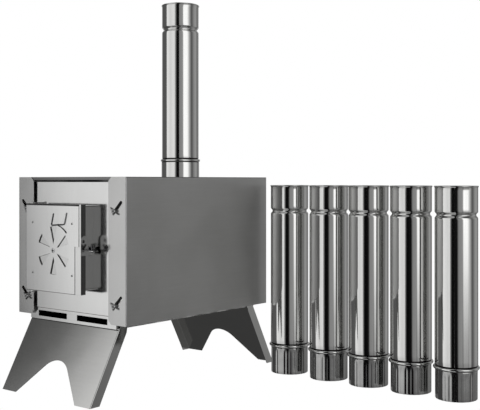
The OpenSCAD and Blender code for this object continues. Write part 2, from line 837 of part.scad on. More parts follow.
module leg() {
    span = leg_foot + leg_extra;
    difference() {
        translate([0, pivot_y, pivot_z]) rotate([-leg_splay, 0, 0]) difference() {
            intersection() {
                translate([0, 0, -span]) linear_extrude(span + leg_out) leg_plan();
                sideways(-leg_half_w - over, 2 * leg_half_w + 2 * over) leg_flange_outline();
            }
            translate([-leg_half_w + bend_r, -leg_out - over, -leg_top])
                cube([2 * (leg_half_w - bend_r), leg_t + 2 * over, leg_top + leg_out + over]);
            facing(-leg_out - over, leg_t + 2 * over) translate([0, -leg_foot]) arch_outline();
            translate([-leg_half_w - over, 0, 0]) rotate([0, 90, 0])
                cylinder(r = pivot_r + run_fit, h = 2 * leg_half_w + 2 * over);
        }
        translate([-half_w, -leg_foot, -leg_foot]) cube([body_w, 2 * leg_foot, leg_foot]);
    }
}

module front_leg() {
    color("slategray") in_set() leg();
}

module rear_leg() {
    color("slategray") in_set() at_rear() leg();
}

// Shouldered rivets that the legs fold on
module leg_pivots() {
    for (side = [0, 1]) mirror([side, 0, 0]) translate([tray_half_w, pivot_y, pivot_z]) rotate([0, 90, 0]) {
        translate([0, 0, -sheet_t - pivot_head_h]) cylinder(r = pivot_head_r, h = pivot_head_h, $fn = 48);
        translate([0, 0, -sheet_t]) cylinder(r = pivot_r, h = sheet_t + leg_gap + leg_t + loose_fit);
        cylinder(r = pivot_head_r, h = leg_gap - loose_fit, $fn = 48);
        translate([0, 0, leg_gap + leg_t + loose_fit]) cylinder(r = pivot_head_r, h = pivot_head_h, $fn = 48);
    }
}

module front_leg_pivots() {
    color("dimgray") in_set() leg_pivots();
}

module rear_leg_pivots() {
    color("dimgray") in_set() at_rear() leg_pivots();
}

// Outline of the pleated end, with its crests at the given radius
module pleats(crest_r) {
    polygon([for (i = [0 : 2 * pleat_count - 1])
        let (a = 180 * i / pleat_count, r = crest_r - (i % 2) * pleat_in) r * [cos(a), sin(a)]]);
}

// Wall of a flue section above its pleats, as radius and height; inset moves it inwards
function flue_wall(inset) = concat(
    arc([flue_r - inset, spigot_l], bead_r - inset, -90, 90, 8),
    [[flue_r - inset, flue_l - socket_l - groove_half],
        [flue_r - groove_in - inset, flue_l - socket_l - inset],
        [flue_r - groove_in - inset, flue_l - socket_l + inset],
        [flue_r - inset, flue_l - socket_l + groove_half],
        [flue_r - inset, flue_l - rim_h],
        [flue_r + rim_out - inset, flue_l]]);

function reversed(list) = [for (i = [len(list) - 1 : -1 : 0]) list[i]];

// A flue section, pleated end down, standing on height 0
module flue_pipe() {
    ring_z = spigot_l - bead_r - ring_h;
    ring_in_r = spigot_r - pleat_in - flue_t - ring_skin;
    color("silver") {
        difference() {
            linear_extrude(ring_z + ring_h / 2) pleats(spigot_r);
            translate([0, 0, -over]) linear_extrude(spigot_l + over) pleats(spigot_r - flue_t);
        }
        rotate_extrude() polygon(concat(
            [[ring_in_r, ring_z], [spigot_r + ring_skin, ring_z]],
            flue_wall(0), reversed(flue_wall(flue_t)), [[ring_in_r, ring_z + ring_h]]));
    }
}

module flue_section() {
    in_set() translate([0, flue_y, flue_z]) flue_pipe();
}

// The loose section with the given number, counted from the stove
module loose_section(number) {
    x = half_w + loose_first + (number > 1 ? loose_step_first + (number - 2) * loose_step : 0);
    in_set() translate([x, loose_y, 0]) flue_pipe();
}

module loose_section_1() { loose_section(1); }
module loose_section_2() { loose_section(2); }
module loose_section_3() { loose_section(3); }
module loose_section_4() { loose_section(4); }
module loose_section_5() { loose_section(5); }

side_panel_left();
side_panel_right();
top_panel();
front_plate();
rear_plate();
floor_rails();
grate();
ash_tray();
tray_rivets();
flue_collar();
front_studs();
rear_studs();
front_wing_nuts();
rear_wing_nuts();
door_frame();
hinge_fixed_leaf();
hinge_door_leaf();
hinge_pin();
door_lid();
door_face_plate();
damper_disc();
damper_handle();
damper_rivet();
latch_bracket();
latch_rivet();
latch_bolt();
latch_lever();
latch_wing_nut();
front_leg();
rear_leg();
front_leg_pivots();
rear_leg_pivots();
flue_section();
loose_section_1();
loose_section_2();
loose_section_3();
loose_section_4();
loose_section_5();
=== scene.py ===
import math

import bmesh
import bpy
from mathutils import Matrix, Vector


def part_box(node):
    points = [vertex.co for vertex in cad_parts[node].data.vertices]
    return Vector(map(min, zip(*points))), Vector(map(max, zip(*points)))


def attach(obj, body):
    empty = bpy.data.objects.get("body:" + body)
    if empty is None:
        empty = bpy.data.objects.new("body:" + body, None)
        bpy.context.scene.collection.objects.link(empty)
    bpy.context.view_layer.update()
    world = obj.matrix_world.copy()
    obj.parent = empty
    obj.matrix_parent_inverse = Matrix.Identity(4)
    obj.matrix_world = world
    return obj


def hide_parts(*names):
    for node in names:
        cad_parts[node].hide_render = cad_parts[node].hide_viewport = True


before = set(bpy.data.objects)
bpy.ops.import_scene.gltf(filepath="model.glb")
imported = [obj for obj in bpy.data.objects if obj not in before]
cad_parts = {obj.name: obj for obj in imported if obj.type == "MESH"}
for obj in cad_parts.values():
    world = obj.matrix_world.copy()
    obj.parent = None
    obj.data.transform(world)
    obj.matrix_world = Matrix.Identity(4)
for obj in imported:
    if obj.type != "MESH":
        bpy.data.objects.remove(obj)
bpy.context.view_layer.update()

bl_info = {
    "name": "Tent Wood Stove",
    "version": (1, 0, 0),
    "blender": (4, 5, 0),
    "location": "3D View > Sidebar > Stove",
    "description": "Dresses the packed tent stove with its finished steel pieces and sets up the studio",
    "category": "Add Mesh",
}

MM = 0.001


def low(node):
    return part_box(node)[0]


def high(node):
    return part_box(node)[1]


def middle(node):
    return (low(node) + high(node)) / 2


BODY_TOP = high("side_panel_right").z

# The camera, worked out from the photograph: its place, the way it looks, its turn from the front in
# degrees, and the picture's width and shift in pixels
CAMERA_PLACE = Vector((1.13035, -1.4005, 0.417))
CAMERA_LOOKS = Vector((-0.6251, 0.7804, 0.0))
CAMERA_RIGHT = Vector((0.7804, 0.6251, 0.0))
CAMERA_TURN = 38.7
PICTURE_WIDTH = 480
PICTURE_SHIFT = (-0.5, -24.0)

LAMP_PLACE = Vector((-1.3, -2.2, 3.0))
LAMP_AIM = Vector((0, 0, 0.2))
LAMP_SIZE = 2.6
FLOOR_DROP = 0.2 * MM

# The black card stands this far towards the camera, and fades from its left side on
CARD_AWAY = 1.6
CARD_SIDES = (-1.2, -0.25)
CARD_HEIGHTS = (-1.5, 2.6)
CARD_FADE_END = -0.72
CARD_EDGE_LIGHT = 0.48
DARK_WALL = 0.004

# Light of the studio walls: by degrees round from the camera to its right, and by share of the height
WALLS = (
    (-178, 0.20), (-155, 0.24), (-140, 0.06), (-95, 0.07), (-93.7, 0.08), (-92.7, 0.115), (-92, 0.17),
    (-91.3, 0.23), (-90.7, 0.31), (-90, 0.42), (-89, 0.56), (-87.8, 0.61), (-85.5, 0.62), (-60, 0.50),
    (-40, 0.58), (-28, 0.50), (-24.5, DARK_WALL), (-9, DARK_WALL), (-1, 0.17), (12, 0.19), (20, 0.22),
    (25, 0.80), (48, 0.78), (62, 0.32), (76, 0.07), (86, 0.09), (93, 0.16), (114, 0.24), (128, 0.16),
    (142, 0.08), (156, 0.24), (178, 0.20))
RIGHT_WALL = ((16, 0), (22, 1), (54, 1), (64, 0))
LEVELS = (
    (0.0, 0.45), (0.25, 0.60), (0.40, 0.80), (0.46, 1.0), (0.5, 1.0), (0.66, 1.0), (0.72, 0.6),
    (0.80, 0.35), (1.0, 0.5))
WALL_SLANT = 0.13


# ---------------------------------------------------------------- settings


def number(name, text, value):
    return bpy.props.FloatProperty(name=name, description=text, default=value)


def length(name, text, value):
    return bpy.props.FloatProperty(name=name, description=text, default=value, unit="LENGTH")


def tint(name, text, value):
    return bpy.props.FloatVectorProperty(name=name, description=text, subtype="COLOR", default=value)


class StudioSettings(bpy.types.PropertyGroup):
    floor_size: length("Floor size", "Side of the pale floor", 16.0)
    lens: number("Lens", "Focal length of the camera in mm", 67.95)
    lamp_power: number("Lamp power", "Power of the large soft lamp in watts", 45.0)
    brightness: number("Studio brightness", "Factor on the light of the studio walls", 1.85)
    floor_colour: tint("Floor colour", "Colour of the light that the floor throws back", (0.8, 0.8, 0.8))


class SteelSettings(bpy.types.PropertyGroup):
    sheet: tint("Sheet", "Colour of the brushed sheet", (0.60, 0.60, 0.595))
    flue: tint("Flue", "Colour of the polished flue", (0.66, 0.66, 0.65))
    leg: tint("Leg", "Colour of the leg sheet", (0.50, 0.50, 0.49))
    grate: tint("Grate", "Colour of the grate", (0.35, 0.34, 0.33))
    fastener: tint("Fastener", "Colour of the fasteners", (0.60, 0.60, 0.60))
    latch: tint("Latch", "Colour of the latch's darkened fasteners", (0.10, 0.10, 0.10))
    # The flanges' darker colour is painted shade on the same sheet as the side panels
    flange: tint("Flange", "Colour of the side panels' flanges", (0.46, 0.46, 0.455))
    face: tint("Door face", "Colour of the door's face plate", (0.65, 0.65, 0.645))
    wire: tint("Wire", "Colour of the drawn wire", (0.13, 0.13, 0.135))
    pleated: tint("Pleated end", "Colour of the flue's pleated end", (0.39, 0.39, 0.385))
    # This dark colour is painted shade: it darkens the door lid's sides and the top panel's front lip, and
    # the weld marks take it too
    rim: tint("Door rim", "Colour of the door's rim and the front lips", (0.15, 0.15, 0.15))
    side_roughness: number("Side roughness", "Roughness of the side panels", 0.38)
    sheet_roughness: number("Sheet roughness", "Roughness of the other brushed sheets", 0.12)
    flue_roughness: number("Flue roughness", "Roughness of the polished flue", 0.07)
    edge_round: length("Edge rounding", "Rounding of cut sheet edges", 0.22 * MM)


class FlueSettings(bpy.types.PropertyGroup):
    radius: length("Radius", "Outer radius of the tube", 41 * MM)
    wall: length("Wall", "Thickness of the tube's wall", 0.6 * MM)
    bead: length("Bead", "Radius of the rolled bead above the pleats", 3.1 * MM)
    spigot: length("Pleated end", "Height of the bead's middle", 60 * MM)
    socket: length("Socket", "Depth of the groove below the rim", 56 * MM)
    groove: length("Groove", "Depth of the groove", 3.6 * MM)
    pleats: bpy.props.IntProperty(
        name="Pleats", description="Number of pleats round the end", default=24)
    pleat_depth: length("Pleat depth", "Depth of a pleat", 0.5 * MM)


class HardwareSettings(bpy.types.PropertyGroup):
    stud: length("Stud", "Diameter of the corner studs", 5 * MM)
    pitch: length("Thread pitch", "Rise of a thread in one turn", 0.8 * MM)
    ear_reach: length("Ear reach", "Reach of a wing nut's ear from its middle", 8.4 * MM)
    ear_rise: length("Ear rise", "Height of a wing nut over its seat", 9.5 * MM)
    nut_turn: number("Nut turn", "Turn of the corner nuts from level, in degrees", 116.0)
    latch_nut_turn: number("Latch nut turn", "Turn of the latch's nut, in degrees", 114.0)
    handle_wire: length("Handle wire", "Diameter of the damper handle's wire", 3 * MM)


GROUPS = {
    "studio": StudioSettings, "steel": SteelSettings, "flue": FlueSettings, "hardware": HardwareSettings}


def settings(kind):
    return getattr(bpy.context.scene, "stove_" + kind)


# ---------------------------------------------------------------- node helpers


class Sheet:
    """Writes nodes into a tree, one line for each node."""

    def __init__(self, tree):
        self.tree = tree
        self.across = 0

    def add(self, kind, inputs=None, **values):
        node = self.tree.nodes.new(kind)
        node.location = (self.across, 0)
        self.across += 180
        for name, value in values.items():
            setattr(node, name, value)
        for name, value in (inputs or {}).items():
            socket = node.inputs[name]
            if isinstance(value, bpy.types.NodeSocket):
                self.tree.links.new(value, socket)
            else:
                socket.default_value = value
        return node

    def sum(self, kind, *values, clamp=False):
        """A Math node of the given operation."""
        return self.add("ShaderNodeMath", dict(enumerate(values)), operation=kind, use_clamp=clamp).outputs[0]

    def noise(self, place, scale, detail, roughness=0.5, distortion=0.0):
        return self.add("ShaderNodeTexNoise", {
            "Vector": place, "Scale": scale, "Detail": detail, "Roughness": roughness,
            "Distortion": distortion}).outputs["Fac"]

    def smoothed(self, value, low_end, high_end, start, stop):
        """The value's place between two ends, eased in and out, as a figure from start to stop."""
        return self.add("ShaderNodeMapRange", {
            "Value": value, "From Min": low_end, "From Max": high_end, "To Min": start, "To Max": stop},
            interpolation_type="SMOOTHSTEP").outputs[0]

    def ramp(self, value, stops, smooth=True):
        node = self.add("ShaderNodeValToRGB", {0: value})
        node.color_ramp.interpolation = "EASE" if smooth else "LINEAR"
        marks = node.color_ramp.elements
        while len(marks) > 1:
            marks.remove(marks[-1])
        marks[0].position, marks[0].color = stops[0][0], tone(stops[0][1])
        for place, shade in stops[1:]:
            marks.new(place).color = tone(shade)
        return node.outputs[0]


def tone(shade):
    return (shade, shade, shade, 1) if isinstance(shade, (int, float)) else (*shade, 1)


def put_in_scene(name, data):
    item = bpy.data.objects.new(name, data)
    bpy.context.scene.collection.objects.link(item)
    return item


def shader_tree(material):
    material.use_nodes = True
    tree = material.node_tree
    tree.nodes.clear()
    return Sheet(tree)


def steel(name, colour, roughness, grain, scratch=0.05, smear=0.04, stain=9.0, dents=0.0, dent_size=14.0,
          painted_shade_bands=()):
    """Stainless steel with a rolling grain, faint smears, shallow dents and bands of painted shade where they
    are asked for.
    grain is how tightly the grain is packed along X, Y and Z; the low figure is the way it runs.
    The painted shade bands darken the colour along an edge, each an axis, its place along it, its width and
    how much light it keeps."""
    material = bpy.data.materials.new(name)
    t = shader_tree(material)
    place = t.add("ShaderNodeTexCoord").outputs["Object"]
    along = t.add("ShaderNodeMapping", {"Vector": place, "Scale": grain}).outputs[0]
    lines = t.noise(along, 60.0, 4.0, 0.6)
    broad = t.noise(along, 14.0, 3.0, 0.5)
    patch = t.noise(place, stain, 4.0, 0.55, 0.4)
    mixed = t.sum("MULTIPLY_ADD", lines, 0.45, t.sum("MULTIPLY", broad, 0.55))
    dark = tuple(c * (1 - 1.1 * scratch) for c in colour)
    light = tuple(min(1, c * (1 + 0.9 * scratch)) for c in colour)
    grained = t.ramp(mixed, [(0.3, dark), (0.7, light)])
    smeared = t.ramp(patch, [(0.35, 1 - smear), (0.65, 1.0)])
    shade = t.add("ShaderNodeVectorMath", {0: grained, 1: smeared}, operation="MULTIPLY")
    split = t.add("ShaderNodeSeparateXYZ", {0: place}) if painted_shade_bands else None
    # Each band paints shade into the colour: darker near its place along its axis
    for axis, middle_at, width, kept in painted_shade_bands:
        away = t.sum("ABSOLUTE", t.sum("SUBTRACT", split.outputs[axis], middle_at))
        painted_shade_edge = t.add("ShaderNodeMapRange", {
            "Value": away, "From Min": width * 0.6, "From Max": width, "To Min": kept,
            "To Max": 1.0}).outputs[0]
        shade = t.add("ShaderNodeVectorMath", {0: shade.outputs[0], "Scale": painted_shade_edge}, operation="SCALE")
    rough = t.add("ShaderNodeMapRange", {"Value": patch, "From Min": 0.3, "From Max": 0.7,
                                         "To Min": roughness * 0.85, "To Max": roughness * 1.25}).outputs[0]
    rough = t.sum("MULTIPLY_ADD", lines, roughness * 0.3, t.sum("SUBTRACT", rough, roughness * 0.15))
    skin = t.add("ShaderNodeBump", {"Height": mixed, "Strength": 0.25, "Distance": 0.000012})
    normal = skin.outputs[0]
    if dents:
        wave = t.noise(place, dent_size, 1.0)
        normal = t.add("ShaderNodeBump", {
            "Height": wave, "Strength": 1.0, "Distance": dents, "Normal": normal}).outputs[0]
    metal = t.add("ShaderNodeBsdfPrincipled", {"Base Color": shade.outputs[0], "Metallic": 1.0,
                                               "Roughness": rough, "Normal": normal})
    t.add("ShaderNodeOutputMaterial", {"Surface": metal.outputs[0]})
    return material


FINISHES = {}


def bead_crease_shade():
    """Painted shade in the creases above and below the rolled beads of the mounted and of the loose sections.
    """
    f = settings("flue")
    up, down = f.bead + 1.2 * MM, f.bead + 0.3 * MM
    beads = (low("flue_section").z + f.spigot, low("loose_section_1").z + f.spigot)
    above = [("Z", bead + up, 1.5 * MM, 0.04) for bead in beads]
    return above + [("Z", bead - down, 1.2 * MM, 0.1) for bead in beads]


def finish(name):
    """The steel finishes of this stove, made once each."""
    if name in FINISHES:
        return FINISHES[name]
    s = settings("steel")
    along_y, along_x, along_z = (14, 1, 14), (1, 14, 14), (14, 14, 1)
    smooth = s.sheet_roughness
    made = {
        # The side sheet carries a band of painted shade along the top edge of the side panels
        "side sheet": lambda: steel(
            "side_sheet_steel", s.sheet, s.side_roughness, along_y, 0.02, 0.05, dents=0.0003, dent_size=5.0,
            painted_shade_bands=[("Z", BODY_TOP, 1.6 * MM, 0.35)]),
        "plate sheet": lambda: steel(
            "plate_sheet_steel", s.sheet, smooth, along_z, 0.02, 0.02, dents=0.0001, dent_size=6.0),
        "door sheet": lambda: steel("door_sheet_steel", s.sheet, smooth, along_z, 0.02, 0.02),
        # The face sheet carries painted shade along the face plate's top, bottom and left edges
        "face sheet": lambda: steel("door_face_steel", s.face, smooth, along_z, 0.02, 0.02, painted_shade_bands=[
            ("Z", high("door_face_plate").z, 4.0 * MM, 0.03), ("Z", low("door_face_plate").z, 1.2 * MM, 0.15),
            ("X", low("door_face_plate").x, 1.0 * MM, 0.3)]),
        # The rim sheet is the door steel made dark as painted shade on the lid's sides
        "shaded rim sheet": lambda: steel("door_rim_painted_shade_steel", s.rim, 0.16, along_x, 0.04, 0.05),
        "top sheet": lambda: steel("top_sheet_steel", s.sheet, smooth, along_x, dents=0.0001, dent_size=6.0),
        "tray sheet": lambda: steel("tray_sheet_steel", s.sheet, smooth, along_x),
        # The flange sheet is the side steel made darker as painted shade
        "shaded flange sheet": lambda: steel("flange_painted_shade_steel", s.flange, smooth * 1.5, along_y, 0.02, 0.03),
        # The lip sheet is dark as painted shade on the top panel's front lip; the weld marks take the same
        # dark colour
        "shaded lip and weld sheet": lambda: steel("shaded_lip_and_weld_steel", s.rim, smooth, along_x, 0.02, 0.03),
        "leg sheet": lambda: steel(
            "leg_sheet_steel", s.leg, smooth * 0.6, along_x, 0.02, dents=0.0001, dent_size=9.0),
        "grate sheet": lambda: steel("grate_sheet_steel", s.grate, 0.38, along_y, smear=0.25, stain=22.0),
        # The flue tube carries painted shade in the creases above and below its beads
        "flue tube": lambda: steel(
            "flue_tube_steel", s.flue, s.flue_roughness, along_z, 0.03, 0.02, dents=0.00005, dent_size=11.0,
            painted_shade_bands=bead_crease_shade()),
        "pleated end": lambda: steel("pleated_end_steel", s.pleated, 0.13, along_z, 0.08, 0.10, stain=40.0),
        "fastener": lambda: steel(
            "fastener_steel_finish", s.fastener, 0.24, (9, 9, 9), smear=0.2, stain=120.0),
        "dark fastener": lambda: steel(
            "dark_fastener_steel", s.latch, 0.2, (9, 9, 9), smear=0.2, stain=120.0),
        "wire": lambda: steel("wire_steel_finish", s.wire, 0.22, (9, 9, 2), smear=0.15, stain=90.0),
    }[name]()
    FINISHES[name] = made
    return made


# ---------------------------------------------------------------- mesh helpers


def add_piece(name, mesh, finish_name, body, nodes=()):
    """Puts a finished mesh into the scene as a piece that rides on a body and stands for some nodes.
    A mesh that already carries its finishes is given none."""
    if not mesh.polygons:
        raise RuntimeError(name + " came out empty")
    if finish_name:
        mesh.materials.clear()
        mesh.materials.append(finish(finish_name))
    piece = put_in_scene(name, mesh)
    if nodes:
        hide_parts(*nodes)
    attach(piece, body)
    return piece


def paint_node(node, finish_name):
    """Gives a node that is shown as it is a finish, without touching its shape."""
    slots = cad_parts[node].data.materials
    slots.clear()
    slots.append(finish(finish_name))


def smooth_below(mesh, degrees):
    """Smooth shading, with an edge kept sharp where its faces meet at more than the angle."""
    work = bmesh.new()
    work.from_mesh(mesh)
    for face in work.faces:
        face.smooth = True
    for edge in work.edges:
        edge.smooth = len(edge.link_faces) == 2 and edge.calc_face_angle(0) < math.radians(degrees)
    work.to_mesh(mesh)
    work.free()
    return mesh


def node_mesh(node, name):
    """A node's mesh as a copy with its doubles merged and its flat faces made whole."""
    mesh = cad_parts[node].data.copy()
    mesh.name = name
    work = bmesh.new()
    work.from_mesh(mesh)
    bmesh.ops.remove_doubles(work, verts=work.verts, dist=1e-6)
    bmesh.ops.dissolve_limit(work, angle_limit=math.radians(0.4), verts=work.verts, edges=work.edges)
    work.to_mesh(mesh)
    work.free()
    return mesh


def rounded_sheet(node, finish_name, body, width=None, bend=35, forward_tone_for_painted_shade=None):
    """Stands for a sheet node, with its cut edges rounded and its bends smooth. Its forward faces can have a
    finish of their own;
    this split paints shade, as one side of it gets a darker copy of the same steel."""
    mesh = smooth_below(node_mesh(node, node + "_rounded"), bend)
    piece = add_piece(node + "_sheet", mesh, finish_name, body, (node,))
    if forward_tone_for_painted_shade:
        mesh.materials.append(finish(forward_tone_for_painted_shade))
        for face in mesh.polygons:
            face.material_index = 1 if face.normal.y < -0.7 else 0
    bevel = piece.modifiers.new("Rounded edges", "BEVEL")
    bevel.width = width or settings("steel").edge_round
    bevel.segments = 2
    bevel.limit_method = "ANGLE"
    bevel.angle_limit = math.radians(bend)
    bevel.use_clamp_overlap = True
    flat = piece.modifiers.new("Flat faces", "WEIGHTED_NORMAL")
    flat.mode, flat.weight, flat.keep_sharp = "FACE_AREA", 100, True
    return piece


def lathe(name, outline, steps, closed=True):
    """Turns an outline of (radius, height) round the Z axis; a closed outline makes a ring-shaped wall."""
    work = bmesh.new()
    rings = []
    for r, z in outline:
        if r < 1e-7:
            rings.append([work.verts.new((0, 0, z))])
        else:
            rings.append([work.verts.new((r * math.cos(a), r * math.sin(a), z))
                          for a in (2 * math.pi * i / steps for i in range(steps))])
    pairs = list(zip(rings, rings[1:])) + ([(rings[-1], rings[0])] if closed else [])
    for one, other in pairs:
        for i in range(steps):
            j = (i + 1) % steps
            if len(one) == 1 and len(other) == 1:
                continue
            if len(one) == 1:
                work.faces.new((one[0], other[j], other[i]))
            elif len(other) == 1:
                work.faces.new((one[i], one[j], other[0]))
            else:
                work.faces.new((one[i], one[j], other[j], other[i]))
    bmesh.ops.recalc_face_normals(work, faces=work.faces)
    mesh = bpy.data.meshes.new(name)
    work.to_mesh(mesh)
    work.free()
    return mesh


def bow(middle_at, r, a0, a1, steps):
    """Points on an arc, angles in degrees."""
    return [(middle_at[0] + r * math.cos(math.radians(a0 + (a1 - a0) * i / steps)),
             middle_at[1] + r * math.sin(math.radians(a0 + (a1 - a0) * i / steps))) for i in range(steps + 1)]


def in_fixed_order(name, work):
    """A mesh with its points and faces in order of place, because extruding leaves them in another order
    on each run. A face of four starts at the lower end of its own diagonal, so its split stays."""
    points = sorted(work.verts, key=lambda point: tuple(round(c, 8) for c in point.co))
    number_of = {point: i for i, point in enumerate(points)}
    faces = []
    for face in work.faces:
        ring = [number_of[point] for point in face.verts]
        faces.append(ring[2:] + ring[:2] if len(ring) == 4 and ring[2] < ring[0] else ring)
    mesh = bpy.data.meshes.new(name)
    mesh.from_pydata([tuple(point.co) for point in points], [], sorted(faces, key=sorted))
    return mesh


def slab(name, outline, thickness, rounding=0.0, segments=2):
    """A flat outline in X and Z, given its thickness along Y about the middle, with rounded edges."""
    work = bmesh.new()
    front = [work.verts.new((x, -thickness / 2, z)) for x, z in outline]
    work.faces.new(front)
    body = bmesh.ops.extrude_face_region(work, geom=list(work.faces))
    back = [part for part in body["geom"] if isinstance(part, bmesh.types.BMVert)]
    bmesh.ops.translate(work, vec=(0, thickness, 0), verts=back)
    bmesh.ops.recalc_face_normals(work, faces=work.faces)
    if rounding:
        edges = [e for e in work.edges if e.calc_face_angle(0) > math.radians(50)]
        bmesh.ops.bevel(work, geom=edges, offset=rounding, segments=segments, affect="EDGES", profile=0.6)
    mesh = in_fixed_order(name, work)
    work.free()
    return mesh


def joined(name, *parts):
    """One mesh from several (mesh, matrix) parts."""
    work = bmesh.new()
    for mesh, move in parts:
        copy = mesh.copy()
        copy.transform(move)
        work.from_mesh(copy)
        bpy.data.meshes.remove(copy)
    mesh = bpy.data.meshes.new(name)
    work.to_mesh(mesh)
    work.free()
    return mesh


# ---------------------------------------------------------------- geometry nodes


def geometry_tree(name, inputs):
    """An empty tree with a geometry input and output and the named inputs."""
    tree = bpy.data.node_groups.new(name, "GeometryNodeTree")
    tree.interface.new_socket("Geometry", in_out="INPUT", socket_type="NodeSocketGeometry")
    for label, kind in inputs:
        tree.interface.new_socket(label, in_out="INPUT", socket_type="NodeSocket" + kind)
    tree.interface.new_socket("Geometry", in_out="OUTPUT", socket_type="NodeSocketGeometry")
    sheet = Sheet(tree)
    start = sheet.add("NodeGroupInput")
    return tree, sheet, start


def close_tree(sheet, geometry, finish_socket):
    whole = sheet.add("GeometryNodeRealizeInstances", {"Geometry": geometry})
    painted = sheet.add("GeometryNodeSetMaterial", {"Geometry": whole.outputs[0], "Material": finish_socket})
    sheet.add("NodeGroupOutput", {"Geometry": painted.outputs[0]})


def run_tree(tree, base, values, name):
    """Runs a tree on a base mesh with the named values set, and returns the result as a plain mesh."""
    holder = put_in_scene(name + "_base", base)
    modifier = holder.modifiers.new("Tree", "NODES")
    modifier.node_group = tree
    sockets = {item.name: item.identifier for item in tree.interface.items_tree
               if item.item_type == "SOCKET" and item.in_out == "INPUT"}
    for label, value in values.items():
        modifier[sockets[label]] = value
    bpy.context.view_layer.update()
    graph = bpy.context.evaluated_depsgraph_get()
    mesh = bpy.data.meshes.new_from_object(holder.evaluated_get(graph), depsgraph=graph)
    bpy.data.objects.remove(holder)
    mesh.name = name
    if not mesh.polygons:
        raise RuntimeError("the tree for " + name + " gave no faces")
    return mesh


def repeat_tree():
    """Puts one piece on every place, turned as the place's own turn says."""
    found = bpy.data.node_groups.get("Repeat on places")
    if found:
        return found
    tree, t, start = geometry_tree("Repeat on places", [("Piece", "Object"), ("Finish", "Material")])
    piece = t.add("GeometryNodeObjectInfo", {"Object": start.outputs["Piece"]}, transform_space="ORIGINAL")
    turn = t.add("GeometryNodeInputNamedAttribute", {"Name": "turn"}, data_type="FLOAT_VECTOR")
    points = t.add("GeometryNodeMeshToPoints", {"Mesh": start.outputs["Geometry"]})
    placed = t.add("GeometryNodeInstanceOnPoints", {
        "Points": points.outputs[0], "Instance": piece.outputs["Geometry"],
        "Rotation": turn.outputs["Attribute"]})
    close_tree(t, placed.outputs[0], start.outputs["Finish"])
    return tree


def repeated(name, piece_mesh, places, finish_name):
    """The piece at every (place, turn), as one mesh."""
    base = bpy.data.meshes.new(name + "_places")
    base.from_pydata([tuple(p) for p, turn in places], [], [])
    turns = base.attributes.new("turn", "FLOAT_VECTOR", "POINT")
    turns.data.foreach_set("vector", [c for p, turn in places for c in turn])
    one = put_in_scene(name + "_one", piece_mesh)
    mesh = run_tree(repeat_tree(), base, {"Piece": one, "Finish": finish(finish_name)}, name)
    bpy.data.objects.remove(one)
    return mesh


def pleat_tree():
    """Draws the end of a tube in between its pleats, less and less towards the bead, and gives it its
    own finish."""
    found = bpy.data.node_groups.get("Pleated end")
    if found:
        return found
    tree, t, start = geometry_tree("Pleated end", [
        ("Pleats", "Float"), ("Depth", "Float"), ("Full below", "Float"), ("Gone above", "Float"),
        ("End finish", "Material"), ("Finish", "Material")])
    place = t.add("GeometryNodeInputPosition").outputs[0]
    split = t.add("ShaderNodeSeparateXYZ", {0: place})
    angle = t.sum("ARCTAN2", split.outputs[1], split.outputs[0])
    half_turn = t.sum("MULTIPLY", t.sum("MULTIPLY", angle, start.outputs["Pleats"]), 0.5)
    wave = t.sum("SUBTRACT", 1.0, t.sum("ABSOLUTE", t.sum("SINE", half_turn)))
    full_below, gone_above = start.outputs["Full below"], start.outputs["Gone above"]
    fade = t.smoothed(split.outputs[2], full_below, gone_above, 1.0, 0.0)
    depth = t.sum("MULTIPLY", t.sum("MULTIPLY", wave, fade), start.outputs["Depth"])
    outwards = t.add("ShaderNodeVectorMath", {0: place, 1: (1, 1, 0)}, operation="MULTIPLY")
    outwards = t.add("ShaderNodeVectorMath", {0: outwards.outputs[0]}, operation="NORMALIZE")
    inwards = t.add("ShaderNodeVectorMath", {
        0: outwards.outputs[0], "Scale": t.sum("MULTIPLY", depth, -1.0)}, operation="SCALE")
    drawn = t.add("GeometryNodeSetPosition", {
        "Geometry": start.outputs["Geometry"], "Offset": inwards.outputs[0]})
    whole = t.add("GeometryNodeRealizeInstances", {"Geometry": drawn.outputs[0]})
    tube = t.add("GeometryNodeSetMaterial", {
        "Geometry": whole.outputs[0], "Material": start.outputs["Finish"]})
    below = t.add("FunctionNodeCompare", {"A": split.outputs[2], "B": gone_above},
                  data_type="FLOAT", operation="LESS_THAN")
    end = t.add("GeometryNodeSetMaterial", {
        "Geometry": tube.outputs[0], "Selection": below.outputs[0], "Material": start.outputs["End finish"]})
    t.add("NodeGroupOutput", {"Geometry": end.outputs[0]})
    return tree


def thread_tree():
    """Winds a thread round a stud that stands along Z."""
    found = bpy.data.node_groups.get("Wound thread")
    if found:
        return found
    tree, t, start = geometry_tree("Wound thread", [
        ("Radius", "Float"), ("Length", "Float"), ("Pitch", "Float"), ("Start", "Float"),
        ("Finish", "Material")])
    turns = t.sum("DIVIDE", start.outputs["Length"], start.outputs["Pitch"])
    wound = t.add("GeometryNodeCurveSpiral", {
        "Resolution": 24, "Rotations": turns, "Start Radius": start.outputs["Radius"],
        "End Radius": start.outputs["Radius"], "Height": start.outputs["Length"]})
    lift = t.add("ShaderNodeCombineXYZ", {2: start.outputs["Start"]})
    lifted = t.add("GeometryNodeTransform", {"Geometry": wound.outputs[0], "Translation": lift.outputs[0]})
    ridge = t.add("GeometryNodeCurvePrimitiveCircle", {
        "Resolution": 3, "Radius": t.sum("MULTIPLY", start.outputs["Pitch"], 0.45)})
    coil = t.add("GeometryNodeCurveToMesh", {
        "Curve": lifted.outputs[0], "Profile Curve": ridge.outputs[0], "Fill Caps": True})
    both = t.add("GeometryNodeJoinGeometry")
    t.tree.links.new(coil.outputs[0], both.inputs[0])
    t.tree.links.new(start.outputs["Geometry"], both.inputs[0])
    close_tree(t, both.outputs[0], start.outputs["Finish"])
    return tree


